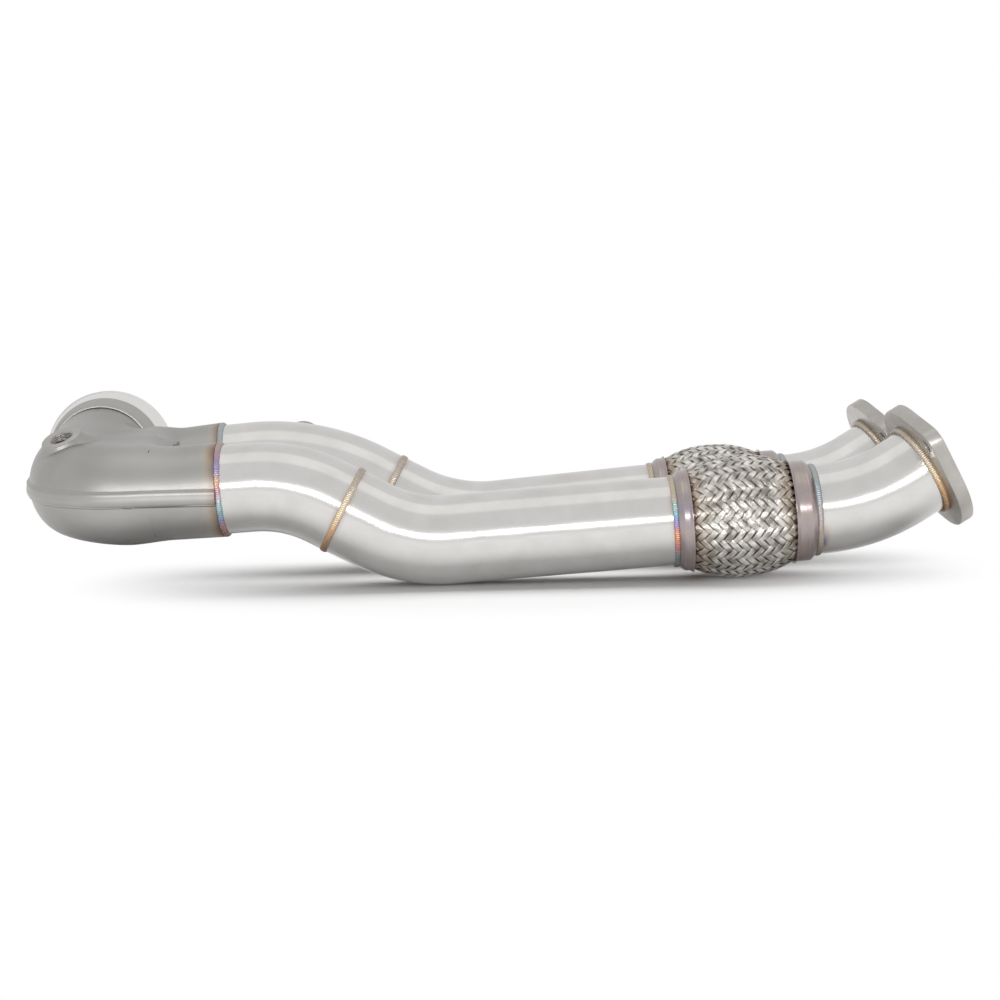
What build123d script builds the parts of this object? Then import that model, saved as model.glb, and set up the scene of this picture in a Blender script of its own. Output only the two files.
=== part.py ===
from build123d import *
from math import asin, cos, radians, sin, tan
import os

os.makedirs("parts", exist_ok=True)

# Row frame in millimetres: +X runs along the pipes from the bonnet to the outlet flanges,
# +Y points out of the turbo inlet, +Z is up. The origin is the centre of the inlet's face.

# Tube, the same for both pipes.
tube_r = 31.75
tube_wall = 1.5
tube_bore_r = tube_r - tube_wall

# The two pipes lie side by side and touch the floor at the valley of their bends.
pipe_spacing = 99.0
front_y = -150.0
rear_y = front_y + pipe_spacing
floor_z = -88.0
valley_z = floor_z + tube_r

# Turbo inlet ring.
ring_r = 49.0
ring_rim = 9.0
ring_bore_r = 43.0
ring_bore_length = 12.0
neck_r = 45.0
neck_start = 21.0
neck_length = 38.0
sheet = 2.0
throat_r = 38.5

# Bonnet: sections across the gas path, from the inlet round to the two outlets.
bonnet_tilt = 4.2
seam_front_z = -18.0
lip_height = 6.5
lip_step = 1.6
stub_r = tube_r + sheet
stub_overlap = 12.0
stub_reach = 46.0

# Weld beads.
bead_height = 1.2
bead_half = 2.6
fillet_leg = 4.0

# Flexible section, measured along its own axis from its first weld.
flex_length = 98.0
skin_r = 35.8
skin_wall = 1.8
cuff_wall = 1.6
braid_wall = 1.6
bellows_cuff_wall = 1.0
cone_length = 3.5
inlet_skirt = 10.5
outlet_skirt = 16.0
cuff_length = 5.0
lip_r = 37.2
lip_width = 2.0
braid_r = 43.8
belly_power = 2.3
pad_height = 0.7
pad_width = 4.6
pad_length = 7.4
pad_rows = 5
pads_round = 20
pad_margin = 0.25
bellows_waves = 10
wave_height = 2.8
play = 0.3

# Outlet flanges.
flange_thickness = 10.0
flange_round_r = 47.5
ear_r = 11.5
bolt_circle_r = 47.0
bolt_hole_r = 4.25
ear_angle = 25.0
tube_recess = 2.0
outlet_yaw = 5.0

# Sensor bosses, M18 x 1.5 with a plain bore at the thread's inner size.
thread_bore_r = 8.25
boss_r = 14.5
flare_drop = 1.2
flare_width = 6.5
flare_depth = 11.0
bung_r = 13.0
bung_height = 9.0

front = {
    "name": "front",
    "y": front_y,
    "valley_x": 263.0,
    "valley_bend": 105.0,
    "dip": 27.6,
    "weld_from_valley": 24.0,
    "weld_from_crest": 14.0,
    "crest_bend": 99.0,
    "bonnet_rise": 3.0,
    "bonnet_end_x": 107.0,
    "rise": 3.36,
    "flex_rise": 3.36,
    "flex_x": 429.0,
    "outlet_bend": 135.0,
    "outlet_rise": 30.5,
    "outlet_straight": 25.7,
}
rear = {
    "name": "rear",
    "y": rear_y,
    "valley_x": 292.7,
    "valley_bend": 123.0,
    "dip": 28.2,
    "weld_from_valley": 18.5,
    "weld_from_crest": 17.0,
    "crest_bend": 154.0,
    "bonnet_rise": 4.6,
    "bonnet_end_x": 96.0,
    "rise": 4.72,
    "flex_rise": 2.85,
    "flex_x": 422.0,
    "outlet_bend": 122.0,
    "outlet_rise": 30.5,
    "outlet_straight": 28.5,
}
kink_bend = 300.0
kink_run = 4.0


def side_plane(pipe):
    """Plane through a pipe's centre line, local x along the row's X and local y up."""
    return Plane(origin=(0, pipe["y"], 0), x_dir=(1, 0, 0), z_dir=(0, -1, 0))


def centre_line(pipe):
    """Centre line of a pipe from the bonnet to the flange, as wires and the planes between them."""
    valley = (pipe["valley_x"], valley_z)
    with BuildLine(side_plane(pipe)) as lower:
        down = JernArc(valley, (-1, 0), pipe["valley_bend"], -pipe["dip"])
        Line(down @ 1, down @ 1 + (down % 1) * pipe["weld_from_valley"])
        up = JernArc(valley, (1, 0), pipe["valley_bend"], pipe["rise"])
        kink = pipe["rise"] - pipe["flex_rise"]
        kink_length = kink_bend * radians(kink)
        reach = (pipe["flex_x"] - kink_run - kink_length - (up @ 1).X) / cos(radians(pipe["rise"]))
        run = Line(up @ 1, up @ 1 + (up % 1) * reach)
        if kink > 0.1:
            bend = JernArc(run @ 1, run % 1, kink_bend, -kink)
            Line(bend @ 1, bend @ 1 + (bend % 1) * kink_run)
        else:
            Line(run @ 1, run @ 1 + (run % 1) * kink_run)
    weld = (down @ 1) + (down % 1) * pipe["weld_from_valley"]
    weld = Vector(weld.X, pipe["y"], weld.Z)
    dip = radians(pipe["dip"])
    back = (-cos(dip), sin(dip))
    with BuildLine(side_plane(pipe)) as upper:
        start = (weld.X, weld.Z)
        run = pipe["weld_from_crest"]
        first = Line(start, (start[0] + back[0] * run, start[1] + back[1] * run))
        crest = JernArc(first @ 1, first % 1, pipe["crest_bend"], pipe["dip"] + pipe["bonnet_rise"])
        last = ((crest @ 1).X - pipe["bonnet_end_x"] + stub_overlap) / cos(radians(pipe["bonnet_rise"]))
        Line(crest @ 1, crest @ 1 + (crest % 1) * last)
    return upper.wire(), lower.wire()


def ring_plane(point, direction):
    """Plane across a tube at a point of its centre line."""
    return Plane(origin=point, z_dir=direction)


def tube(path, outer=tube_r, inner=tube_bore_r):
    with BuildPart() as pipe_tube:
        with BuildLine():
            add(path)
        with BuildSketch(ring_plane(path @ 0, path % 0)):
            Circle(outer)
            if inner:
                Circle(inner, mode=Mode.SUBTRACT)
        sweep()
    return pipe_tube.part


def bead(plane, half=bead_half, height=bead_height, start=None):
    """Rounded weld bead round the outside of a tube, across the given plane."""
    low = -half if start is None else start
    with BuildPart() as ring:
        with BuildSketch(Plane.XZ):
            with BuildLine():
                Polyline((tube_r, low), (tube_r, half))
                ThreePointArc((tube_r, half), (tube_r + height, (low + half) / 2), (tube_r, low))
            make_face()
        revolve(axis=Axis.Z)
    return ring.part.moved(plane.location)


def fillet_bead(plane, leg=fillet_leg):
    """Corner weld between the outside of a tube and the plate that stands on the given plane."""
    with BuildPart() as ring:
        with BuildSketch(Plane.XZ):
            with BuildLine():
                Polyline((tube_r, -leg), (tube_r, 0), (tube_r + leg, 0))
                ThreePointArc((tube_r + leg, 0), (tube_r + leg * 0.6, -leg * 0.6), (tube_r, -leg))
            make_face()
        revolve(axis=Axis.Z)
    return ring.part.moved(plane.location)


def end_bead(plane, inner, wall, width):
    """Weld bead that starts on the end face of a larger tube and lies on the smaller one inside it."""
    with BuildPart() as ring:
        with BuildSketch(Plane.XZ):
            with BuildLine():
                Polyline((inner, width), (inner, 0), (inner + wall, 0))
                ThreePointArc((inner + wall, 0), (inner + wall * 0.85, width * 0.6), (inner, width))
            make_face()
        revolve(axis=Axis.Z)
    return ring.part.moved(plane.location)


def turned(points):
    """Solid of revolution about Z from the radius and height of its corners."""
    with BuildPart() as body:
        with BuildSketch(Plane.XZ):
            with BuildLine():
                Polyline(*points, close=True)
            make_face()
        revolve(axis=Axis.Z)
    return body.part


def collar(skirt):
    """End skin of the flexible section, from its weld at height 0 to its open lip over the braid."""
    skin_bore = skin_r - skin_wall
    return turned([
        (tube_bore_r, 0),
        (tube_r, 0),
        (tube_r, 1.0),
        (skin_r, cone_length + 1.0),
        (skin_r, skirt - lip_width),
        (lip_r, skirt - 0.4),
        (lip_r, skirt),
        (skin_bore, skirt),
        (skin_bore, cone_length + 1.5),
        (tube_bore_r, 1.2),
    ])


def belly_r(part):
    """Outer radius of the braid's wall at a part of its length, 0 to 1."""
    bulge = 1 - abs(2 * part - 1) ** belly_power
    cuff_r = skin_r - skin_wall
    return cuff_r + (braid_r - pad_height - cuff_r) * bulge


def braid():
    """Woven sleeve: a bellied wall between two cuffs, with the raised strand crossings on it."""
    cuff_r = skin_r - skin_wall
    start = inlet_skirt - cuff_length
    end = flex_length - outlet_skirt + cuff_length
    low = inlet_skirt
    high = flex_length - outlet_skirt
    span = high - low
    shares = (0, 0.07, 0.16, 0.28, 0.42, 0.58, 0.72, 0.84, 0.93, 1)
    belly = [(belly_r(part), low + play + (span - 2 * play) * part) for part in shares]
    outside = [(cuff_r, start)] + belly + [(cuff_r, end)]
    inside = [(r - braid_wall, z) for r, z in reversed(outside)]
    with BuildPart() as sleeve:
        with BuildSketch(Plane.XZ):
            with BuildLine():
                Polyline(*outside, *inside, close=True)
            make_face()
        revolve(axis=Axis.Z)
        for row in range(pad_rows):
            part = pad_margin + (1 - 2 * pad_margin) * row / (pad_rows - 1)
            height = low + span * part
            lean = 45 if row % 2 else -45
            with PolarLocations(belly_r(part), pads_round, start_angle=180 / pads_round * (row % 2)):
                with Locations((0, 0, height)):
                    with Locations(Rotation(lean, 0, 0)):
                        Box(2 * pad_height, pad_width, pad_length)
    return sleeve.part


def bellows():
    """Thin corrugated sleeve sealed between the braid and the liner."""
    outer = skin_r - skin_wall - cuff_wall
    inner = outer - bellows_cuff_wall
    start = inlet_skirt - cuff_length
    end = flex_length - outlet_skirt + cuff_length
    low = inlet_skirt + 4.0
    pitch = (end - start - 2 * (low - start)) / bellows_waves
    outside = [(outer, start), (outer, low)]
    for wave in range(bellows_waves):
        outside.append((outer + wave_height, low + (wave + 0.35) * pitch))
        outside.append((outer + wave_height, low + (wave + 0.65) * pitch))
        outside.append((outer, low + (wave + 1) * pitch))
    outside.append((outer, end))
    inside = [(r - bellows_cuff_wall, z) for r, z in reversed(outside)]
    return turned(outside + inside)


def liner():
    """Smooth inner sleeve that guides the gas through the flexible section."""
    outer = skin_r - skin_wall - cuff_wall - bellows_cuff_wall
    return turned([
        (tube_bore_r, 3.0),
        (outer, 3.0),
        (outer, flex_length - 3.0),
        (tube_bore_r, flex_length - 3.0),
    ])


def flange(plane):
    """Two-bolt outlet flange on its inner face, bored for the tube."""
    with BuildPart() as plate:
        with BuildSketch(plane):
            Circle(flange_round_r)
            with PolarLocations(bolt_circle_r, 2, start_angle=-ear_angle):
                Circle(ear_r)
            make_hull()
            Circle(tube_r, mode=Mode.SUBTRACT)
            with PolarLocations(bolt_circle_r, 2, start_angle=-ear_angle):
                Circle(bolt_hole_r, mode=Mode.SUBTRACT)
        extrude(amount=flange_thickness)
        chamfer(plate.edges().filter_by(GeomType.CIRCLE).group_by(SortBy.RADIUS)[-1], length=0.8)
    return plate.part


def section_plane(inner, outer, mid_z, heading, rise):
    """Plane across the bonnet between two points of its plan, leaning with the bonnet."""
    middle = ((inner[0] + outer[0]) / 2, (inner[1] + outer[1]) / 2, mid_z)
    across = Vector(outer[0] - inner[0], outer[1] - inner[1], 0).normalized()
    lean = tan(radians(bonnet_tilt)) * sin(radians(heading))
    flow = Vector(-across.Y, across.X, tan(radians(rise)))
    return Plane(origin=middle, x_dir=across - Vector(0, 0, lean), z_dir=flow)


def stub_plane(pipe):
    """Plane across a bonnet stub at its open end, z towards the pipe."""
    upper, lower = lines[pipe["name"]]
    back = upper % 1
    end = upper @ 1 - back * stub_overlap
    return Plane(origin=end, z_dir=-back)


def bonnet_body(inset):
    """Outside of the bonnet drawn in by the inset, as one solid."""
    sections = [
        ((38.8, -38.0), (-38.8, -38.0), 77.0, 0.0, 0, 0),
        ((42.0, -43.0), (-40.0, -73.0), 76.0, -7.0, 20, 0),
        ((48.0, -42.0), (-37.0, -118.5), 71.5, -11.7, 42, 0),
        ((53.0, -34.0), (-7.8, -170.5), 69.5, -14.2, 66, 0),
        ((59.0, -18.4), (58.6, -182.6), 66.2, -15.45, 90, 3.8),
        ((68.5 - inset, -27.0 - inset), (67.5 - inset, -174.0 + inset), 50.0, -14.8, 90, 3.8),
    ]
    with BuildPart() as body:
        for inner, outer, height, mid_z, heading, rise in sections:
            plane = section_plane(inner, outer, mid_z, heading, rise)
            width = ((outer[0] - inner[0]) ** 2 + (outer[1] - inner[1]) ** 2) ** 0.5
            with BuildSketch(plane):
                SlotOverall(width - 2 * inset, height - 2 * inset)
        loft()
        for pipe in (front, rear):
            with BuildSketch(stub_plane(pipe)):
                Circle(stub_r - inset)
            extrude(amount=-stub_reach)
    return body.part


def slab(low, high):
    """Everything between two heights above the bonnet's seam."""
    seam_z = seam_front_z + stub_r * tan(radians(bonnet_tilt))
    seam = Plane(origin=(0, front_y, seam_z)).rotated((bonnet_tilt, 0, 0))
    with BuildPart() as block:
        with BuildSketch(seam.offset(low)):
            Rectangle(500, 500)
        extrude(amount=high - low)
    return block.part


def drilled(direction, point, radius, length):
    """Straight round bar from a point along a direction."""
    with BuildPart() as bar:
        with BuildSketch(Plane(origin=point, z_dir=direction)):
            Circle(radius)
        extrude(amount=length)
    return bar.part


def save(solid, name):
    solid.label = name
    export_step(solid, "parts/" + name + ".step")


lines = {pipe["name"]: centre_line(pipe) for pipe in (front, rear)}

# Turbo inlet ring with its coned neck.
with BuildPart() as vband_flange:
    with BuildSketch(Plane.XY):
        with BuildLine():
            Polyline(
                (ring_bore_r, 0),
                (ring_r, 0),
                (ring_r, -ring_rim),
                (neck_r, -neck_start),
                (throat_r, -neck_length),
                (throat_r - sheet, -neck_length),
                (ring_bore_r, -ring_bore_length - 4),
                close=True,
            )
        make_face()
    revolve(axis=Axis.Y)
save(vband_flange.part, "vband_flange")

# Bonnet shells, split at the seam, with the upper one's lip lapped over the lower one.
skin = bonnet_body(0)
hollow = bonnet_body(sheet)
boss_axis = Vector(-0.26, -0.38, 0.89).normalized()
boss_face = Vector(-9.1, -134.3, 22.2)
sensor_bore = drilled(-boss_axis, boss_face + boss_axis, thread_bore_r, 30)
shell = skin - hollow - sensor_bore
upper_half = slab(0, 200)
lower_half = slab(-200, 0)
lip_band = (bonnet_body(-lip_step) - skin) & slab(-lip_height, 2.5)
save((shell & lower_half).solids().sort_by(SortBy.VOLUME)[-1], "bonnet_lower_shell")
upper_shell = (shell & upper_half) + lip_band
save(upper_shell.solids().sort_by(SortBy.VOLUME)[-1], "bonnet_upper_shell")

# Sensor boss on the bonnet with its fillet weld.
boss = drilled(-boss_axis, boss_face, boss_r, 24) - skin - sensor_bore
save(boss.solids().sort_by(SortBy.VOLUME)[-1], "bonnet_sensor_boss")
with BuildPart() as boss_weld:
    with BuildSketch(Plane.XZ):
        with BuildLine():
            Polyline(
                (boss_r + flare_width, -flare_depth),
                (boss_r + flare_width, -2 * flare_depth),
                (boss_r, -2 * flare_depth),
                (boss_r, -flare_drop),
            )
            ThreePointArc(
                (boss_r, -flare_drop),
                (boss_r + flare_width * 0.3, -flare_depth * 0.62),
                (boss_r + flare_width, -flare_depth),
            )
        make_face()
    revolve(axis=Axis.Z)
boss_bead = boss_weld.part.moved(Plane(origin=boss_face, z_dir=boss_axis).location) - skin - lip_band
save(boss_bead.solids().sort_by(SortBy.VOLUME)[-1], "bonnet_sensor_boss_weld")

# Weld round the neck, where the ring's cone meets the bonnet.
with BuildPart() as neck_weld:
    with BuildSketch(Plane.XY):
        with BuildLine():
            Polyline((throat_r - 0.3, -neck_length - 2.4), (throat_r - 0.3, -neck_length + 2.4))
            ThreePointArc(
                (throat_r - 0.3, -neck_length + 2.4),
                (throat_r + 2.2, -neck_length),
                (throat_r - 0.3, -neck_length - 2.4),
            )
        make_face()
    revolve(axis=Axis.Y)
neck_bead = neck_weld.part - vband_flange.part - skin - lip_band
save(neck_bead.solids().sort_by(SortBy.VOLUME)[-1], "bonnet_inlet_weld")

# Flexible section parts, built once about their own axis and placed in both pipes.
woven = braid()
corrugated = bellows()
smooth = liner()
inlet_collar = collar(inlet_skirt)
outlet_collar = mirror(collar(outlet_skirt), about=Plane.XY).moved(Location((0, 0, flex_length)))

for pipe in (front, rear):
    name = pipe["name"]
    upper, lower = lines[name]
    stub_end = stub_plane(pipe)
    upper_tube = tube(upper)
    if name == "rear":
        crest = upper @ 0.5
        side = Vector(0, sin(radians(60)), cos(radians(60)))
        bung_root = Vector(crest.X, pipe["y"], crest.Z)
        bung_hole = drilled(side, bung_root, thread_bore_r, 60)
        bung = drilled(side, bung_root, bung_r, tube_r + bung_height)
        core = tube(upper, inner=0)
        bung_bead = drilled(side, bung_root + side * (tube_r - 4), bung_r + 2.5, 6.5) - core
        bung_bead = bung_bead - drilled(side, bung_root, bung_r, 60)
        bung = bung - core - bung_hole
        upper_tube = upper_tube - bung_hole
        save(upper_tube.solids().sort_by(SortBy.VOLUME)[-1], "rear_upper_tube")
        save(bung.solids().sort_by(SortBy.VOLUME)[-1], "rear_sensor_bung")
        save(bung_bead.solids().sort_by(SortBy.VOLUME)[-1], "rear_sensor_bung_weld")
    else:
        save(upper_tube, "front_upper_tube")
    save(tube(lower), name + "_lower_tube")
    save(end_bead(stub_end, tube_r, sheet + 0.4, 5.0), name + "_bonnet_weld")
    save(bead(ring_plane(upper @ 0, upper % 0)), name + "_mid_weld")

    # The flexible section goes on in line with the end of the lower tube.
    flex_start = ring_plane(lower @ 1, lower % 1)
    if (lower @ 0).X > (lower @ 1).X:
        flex_start = ring_plane(lower @ 0, -(lower % 0))
    flex_end = flex_start.offset(flex_length)
    place = flex_start.location
    save(woven.moved(place), name + "_flex_braid")
    save(corrugated.moved(place), name + "_flex_bellows")
    save(smooth.moved(place), name + "_flex_liner")
    save(inlet_collar.moved(place), name + "_flex_inlet_collar")
    save(outlet_collar.moved(place), name + "_flex_outlet_collar")
    save(bead(flex_start, half=1.0, start=-3.4), name + "_flex_inlet_weld")
    save(bead(flex_end, half=3.4, start=-1.0), name + "_flex_outlet_weld")

    # Outlet bend, turned slightly away from the front, and the flange on its end.
    along = flex_end.z_dir
    turn = pipe["outlet_rise"] - pipe["flex_rise"]
    lean = asin(sin(radians(outlet_yaw)) / sin(radians(turn)))
    across = Vector(-along.Z * sin(lean), -cos(lean), along.X * sin(lean))
    bend_plane = Plane(origin=flex_end.origin, x_dir=along, z_dir=across)
    with BuildLine(bend_plane) as outlet:
        begin = Line((0, 0), (4.0, 0))
        curve = JernArc(begin @ 1, begin % 1, pipe["outlet_bend"], turn)
        Line(curve @ 1, curve @ 1 + (curve % 1) * pipe["outlet_straight"])
    out = outlet.wire()
    save(tube(out), name + "_outlet_tube")
    tube_end = out @ 1
    heading = out % 1
    near = (Vector(0, -1, 0) + heading * heading.Y).normalized()
    face = Plane(origin=tube_end - heading * (flange_thickness - tube_recess), x_dir=near, z_dir=heading)
    save(flange(face), name + "_outlet_flange")
    save(fillet_bead(face), name + "_outlet_weld")
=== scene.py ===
import math

import bmesh
import bpy
from mathutils.bvhtree import BVHTree
from mathutils import Matrix, Vector


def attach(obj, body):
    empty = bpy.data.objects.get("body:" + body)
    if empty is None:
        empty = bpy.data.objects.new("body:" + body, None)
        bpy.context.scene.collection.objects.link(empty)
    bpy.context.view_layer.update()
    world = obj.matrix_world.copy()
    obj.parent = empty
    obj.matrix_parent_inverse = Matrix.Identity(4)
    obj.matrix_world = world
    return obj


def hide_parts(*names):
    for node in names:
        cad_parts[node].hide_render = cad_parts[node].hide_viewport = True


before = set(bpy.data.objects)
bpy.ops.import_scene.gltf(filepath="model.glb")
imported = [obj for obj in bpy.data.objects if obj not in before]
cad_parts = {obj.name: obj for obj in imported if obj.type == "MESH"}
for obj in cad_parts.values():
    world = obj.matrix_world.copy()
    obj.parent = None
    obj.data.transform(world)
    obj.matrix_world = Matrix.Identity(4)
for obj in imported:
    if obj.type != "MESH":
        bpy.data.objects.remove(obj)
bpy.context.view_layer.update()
print("frame loaded:", len(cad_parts), "nodes")

# Pieces are built in millimetres, and placed() brings them to metres
mm = 0.001

# Camera, at the photograph's viewing angle
cameraView = {
    "place": (0.305, -1.49518, 0.11203),
    "right": (0.99973174, -0.00241147, -0.02303541),
    "up": (0.02316129, 0.1040884, 0.99429832),
    "forward": (0.0, 0.99456513, -0.10411633),
    "lens": 68.4,
    "sensor": 36.0,
}

tubeSizes = {"radius": 31.75, "wall": 1.5, "around": 144, "arcStep": 1.6, "runStep": 8.0}

# Both pipes, as sizes along their centre lines. Angles are in degrees
pipes = {
    "front": {
        "y": -150.0, "valley": 263.0, "valleyBend": 105.0, "dip": 27.6, "dipRun": 24.0, "crestRun": 14.0,
        "crestBend": 99.0, "bonnetRise": 3.0, "bonnetEnd": 107.0, "rise": 3.36, "flexRise": 3.36,
        "flexStart": 429.0, "outletBend": 135.0, "outletRise": 30.5, "outletRun": 25.7,
    },
    "rear": {
        "y": -51.0, "valley": 292.7, "valleyBend": 123.0, "dip": 28.2, "dipRun": 18.5, "crestRun": 17.0,
        "crestBend": 154.0, "bonnetRise": 4.6, "bonnetEnd": 96.0, "rise": 4.72, "flexRise": 2.85,
        "flexStart": 422.0, "outletBend": 122.0, "outletRise": 30.5, "outletRun": 28.5,
    },
}
pipeSizes = {
    "valleyHeight": -56.25, "stubOverlap": 12.0, "kinkBend": 300.0, "kinkRun": 4.0, "outletStart": 4.0,
    "outletYaw": 5.0, "flexLength": 98.0,
}


# A route is a list of spots: the point and the way on from it
def follow(point, way, normal, legs):
    spots = [(Vector(point), Vector(way).normalized())]
    for radius, amount in legs:
        point, way = spots[-1]
        if radius == 0:
            count = max(1, math.ceil(amount / tubeSizes["runStep"]))
            spots += [(point + way * (amount * i / count), way) for i in range(1, count + 1)]
            continue
        angle = math.radians(amount)
        count = max(2, math.ceil(abs(angle) * radius / tubeSizes["arcStep"]))
        centre = point + normal.cross(way) * math.copysign(radius, amount)
        for i in range(1, count + 1):
            turn = Matrix.Rotation(angle * i / count, 3, normal)
            spots.append((centre + turn @ (point - centre), turn @ way))
    return spots


def turnedBack(spots):
    return [(point, -way) for point, way in reversed(spots)]


sideNormal = Vector((0, -1, 0))


def pipeRoutes(pipe):
    s = pipeSizes
    valley = Vector((pipe["valley"], pipe["y"], s["valleyHeight"]))
    up = follow(valley, (-1, 0, 0), sideNormal, [(pipe["valleyBend"], -pipe["dip"]), (0, pipe["dipRun"])])
    weld, weldWay = up[-1]
    crestTurn = pipe["dip"] + pipe["bonnetRise"]
    upper = follow(weld, weldWay, sideNormal, [(0, pipe["crestRun"]), (pipe["crestBend"], crestTurn)])
    last = upper[-1][0].x - pipe["bonnetEnd"] + s["stubOverlap"]
    upper += follow(*upper[-1], sideNormal, [(0, last / math.cos(math.radians(pipe["bonnetRise"])))])[1:]

    on = follow(valley, (1, 0, 0), sideNormal, [(pipe["valleyBend"], pipe["rise"])])
    # A pipe whose flexible section lies flatter than its run has a slight kink before it
    kink = pipe["rise"] - pipe["flexRise"]
    reach = pipe["flexStart"] - s["kinkRun"] - s["kinkBend"] * math.radians(kink) - on[-1][0].x
    legs = [(0, reach / math.cos(math.radians(pipe["rise"]))), (s["kinkBend"], -kink), (0, s["kinkRun"])]
    on += follow(*on[-1], sideNormal, [leg for leg in legs if leg[1]])[1:]
    lower = turnedBack(up) + on[1:]

    flexPoint, along = lower[-1]
    outletTurn = pipe["outletRise"] - pipe["flexRise"]
    lean = math.asin(math.sin(math.radians(s["outletYaw"])) / math.sin(math.radians(outletTurn)))
    across = Vector((-along.z * math.sin(lean), -math.cos(lean), along.x * math.sin(lean)))
    legs = [(0, s["outletStart"]), (pipe["outletBend"], outletTurn), (0, pipe["outletRun"])]
    outlet = follow(flexPoint + along * s["flexLength"], along, across, legs)
    return {"upper": upper, "lower": lower, "outlet": outlet, "outletNormal": across}


routes = {name: pipeRoutes(pipe) for name, pipe in pipes.items()}
print("routes ready")


# Mesh helpers
def ringMesh(name, rings, alongs, aroundLength, closed):
    # Skin over rings of points. The UV map holds millimetres around and along
    count = len(rings[0])
    vertices = [point for ring in rings for point in ring]
    faces, uvs = [], []
    bands = len(rings) if closed else len(rings) - 1
    for band in range(bands):
        nextBand = (band + 1) % len(rings)
        for i in range(count):
            j = (i + 1) % count
            faces.append((band * count + i, band * count + j, nextBand * count + j, nextBand * count + i))
            left, right = aroundLength * i / count, aroundLength * (i + 1) / count
            low, high = alongs[band], alongs[band + 1]
            uvs += [(left, low), (right, low), (right, high), (left, high)]
    mesh = bpy.data.meshes.new(name)
    mesh.from_pydata(vertices, [], faces)
    layer = mesh.uv_layers.new(name="skin")
    layer.data.foreach_set("uv", [value for uv in uvs for value in uv])
    return mesh


def smoothed(mesh, sharpAngle=35.0, bevel=0.0, flip=True):
    # Smooth faces with sharp edges over the angle, which may first get a narrow bevel
    body = bmesh.new()
    body.from_mesh(mesh)
    bmesh.ops.remove_doubles(body, verts=body.verts, dist=0.001)
    if flip:
        bmesh.ops.recalc_face_normals(body, faces=body.faces)
    limit = math.radians(sharpAngle)
    if bevel:
        sharp = [e for e in body.edges if e.is_manifold and e.calc_face_angle(0) > limit]
        bmesh.ops.bevel(body, geom=sharp, offset=bevel, segments=2, profile=0.6, affect="EDGES", clamp_overlap=True)
    for face in body.faces:
        face.smooth = True
    for edge in body.edges:
        edge.smooth = not edge.is_manifold or edge.calc_face_angle(0) < limit
    body.to_mesh(mesh)
    body.free()
    return mesh


def placed(name, mesh, matrix=None):
    mesh.transform(Matrix.Scale(mm, 4) @ (matrix or Matrix.Identity(4)))
    piece = bpy.data.objects.new(name, mesh)
    bpy.context.scene.collection.objects.link(piece)
    return piece


def finished(piece, material, slotName, *nodes):
    piece.data.materials.clear()
    piece.data.materials.append(material)
    if nodes:
        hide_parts(*nodes)
    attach(piece, "root")
    return piece


def ringAt(point, way, side, radius, count):
    up = way.cross(side)
    turns = [2 * math.pi * i / count for i in range(count)]
    return [point + side * (radius * math.cos(t)) + up * (radius * math.sin(t)) for t in turns]


def standing(point, way, side=None):
    # Place of a turned piece: its own Z along the way
    z = Vector(way).normalized()
    x = Vector(side) if side else Vector((0, -1, 0))
    x = (x - z * x.dot(z)).normalized()
    y = z.cross(x)
    return Matrix.Translation(Vector(point)) @ Matrix((x, y, z)).transposed().to_4x4()


def turnedMesh(name, profile, count=128, bevel=0.0):
    # Closed solid of revolution about Z from corners of radius and height
    rings = [ringAt(Vector((0, 0, z)), Vector((0, 0, 1)), Vector((1, 0, 0)), r, count) for r, z in profile]
    alongs = [0.0]
    for (r0, z0), (r1, z1) in zip(profile, profile[1:] + profile[:1]):
        alongs.append(alongs[-1] + math.hypot(r1 - r0, z1 - z0))
    mesh = ringMesh(name, rings, alongs, 2 * math.pi * profile[0][0], True)
    return smoothed(mesh, 25.0, bevel)


# Node helpers
def add(tree, kind, inputs=None, **settings):
    made = tree.nodes.new(kind)
    for key, value in settings.items():
        setattr(made, key, value)
    for key, value in (inputs or {}).items():
        fill(tree, made.inputs[key], value)
    return made


def fill(tree, socket, value):
    if isinstance(value, bpy.types.NodeSocket):
        tree.links.new(value, socket)
    else:
        socket.default_value = value


def calc(tree, operation, *values, clamp=False):
    return add(tree, "ShaderNodeMath", dict(enumerate(values)), operation=operation, use_clamp=clamp).outputs[0]


def vectorCalc(tree, operation, *values):
    made = add(tree, "ShaderNodeVectorMath", dict(enumerate(values)), operation=operation)
    return made.outputs["Value" if operation in ("LENGTH", "DOT_PRODUCT") else "Vector"]


def vectorOf(tree, x, y, z):
    return add(tree, "ShaderNodeCombineXYZ", {"X": x, "Y": y, "Z": z}).outputs[0]


def partsOf(tree, vector):
    return add(tree, "ShaderNodeSeparateXYZ", {0: vector}).outputs


def objectPlace(tree):
    return add(tree, "ShaderNodeTexCoord").outputs["Object"]


def mapNamed(tree, name):
    return add(tree, "ShaderNodeUVMap", uv_map=name).outputs[0]


def attributeNamed(tree, name):
    return add(tree, "ShaderNodeAttribute", attribute_name=name, attribute_type="GEOMETRY").outputs["Fac"]


def noise(tree, place, scale, detail, roughness=0.5):
    inputs = {"Vector": place, "Scale": scale, "Detail": detail, "Roughness": roughness}
    return add(tree, "ShaderNodeTexNoise", inputs).outputs[0]


def ranged(tree, value, low, high, first, last, **settings):
    inputs = {"Value": value, "From Min": low, "From Max": high, "To Min": first, "To Max": last}
    return add(tree, "ShaderNodeMapRange", inputs, **settings).outputs[0]


def spreadOf(tree, value, low, high):
    # Noise lies mostly between 0.3 and 0.7
    return ranged(tree, value, 0.3, 0.7, low, high)


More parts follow.
